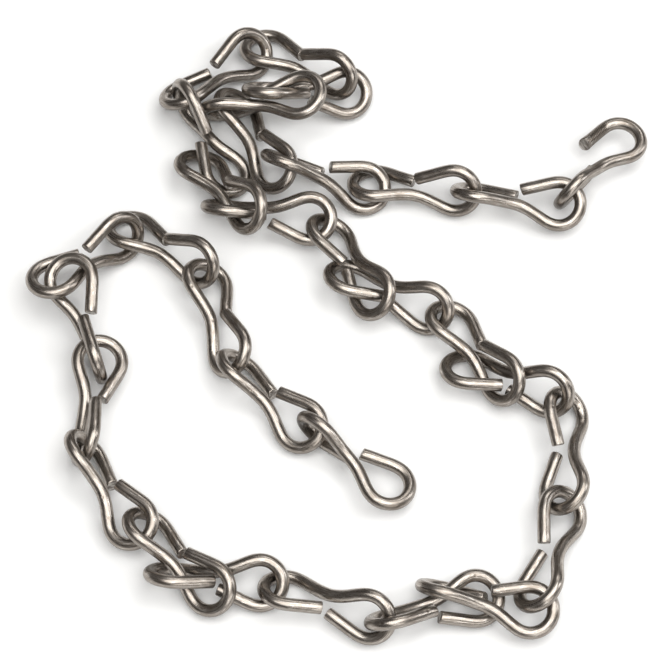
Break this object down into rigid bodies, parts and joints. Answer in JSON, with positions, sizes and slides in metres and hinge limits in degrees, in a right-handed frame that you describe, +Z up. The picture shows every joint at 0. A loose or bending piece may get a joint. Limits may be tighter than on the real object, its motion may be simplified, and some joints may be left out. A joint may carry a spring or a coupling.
{
  "type": "heap of iron chain",
  "caption": "Loose length of single jack chain in bent steel wire, lying in a curve with a small tangle, its first link opened as a hook.",
  "frame": {"origin": "on the floor under the middle of the chain's bounding box", "axes": "+Z up from the floor the chain lies on, +Y towards the top edge of the picture, which is the longer way across the chain"},
  "size_m": [0.1692, 0.186, 0.0193],
  "materials": {
    "hook_link": "bare drawn wire, satin",
    "link_02": "bare drawn wire, satin",
    "link_03": "bare drawn wire, satin",
    "link_04": "bare drawn wire, satin",
    "link_05": "bare drawn wire, satin",
    "link_06": "bare drawn wire, satin",
    "link_07": "bare drawn wire, satin",
    "link_08": "bare drawn wire, satin",
    "link_09": "bare drawn wire, satin",
    "link_10": "bare drawn wire, satin",
    "link_11": "bare drawn wire, satin",
    "link_12": "bare drawn wire, satin",
    "link_13": "bare drawn wire, satin",
    "link_14": "bare drawn wire, satin",
    "link_15": "bare drawn wire, satin",
    "link_16": "bare drawn wire, satin",
    "link_17": "bare drawn wire, satin",
    "link_18": "bare drawn wire, satin",
    "link_19": "bare drawn wire, satin",
    "link_20": "bare drawn wire, satin",
    "link_21": "bare drawn wire, satin",
    "link_22": "bare drawn wire, satin",
    "link_23": "bare drawn wire, satin",
    "link_24": "bare drawn wire, satin",
    "link_25": "bare drawn wire, satin",
    "link_26": "bare drawn wire, satin",
    "link_27": "bare drawn wire, satin",
    "link_28": "bare drawn wire, satin",
    "link_29": "bare drawn wire, satin",
    "link_30": "bare drawn wire, satin",
    "end_link": "bare drawn wire, satin"
  },
  "bodies": {
    "root": {"hook_link": "hook_link", "link_02": "link_02", "link_03": "link_03", "link_04": "link_04", "link_05": "link_05", "link_06": "link_06", "link_07": "link_07", "link_08": "link_08", "link_09": "link_09", "link_10": "link_10", "link_11": "link_11", "link_12": "link_12", "link_13": "link_13", "link_14": "link_14", "link_15": "link_15", "link_16": "link_16", "link_17": "link_17", "link_18": "link_18", "link_19": "link_19", "link_20": "link_20", "link_21": "link_21", "link_22": "link_22", "link_23": "link_23", "link_24": "link_24", "link_25": "link_25", "link_26": "link_26", "link_27": "link_27", "link_28": "link_28", "link_29": "link_29", "link_30": "link_30", "end_link": "end_link"}
  },
  "joints": []
}
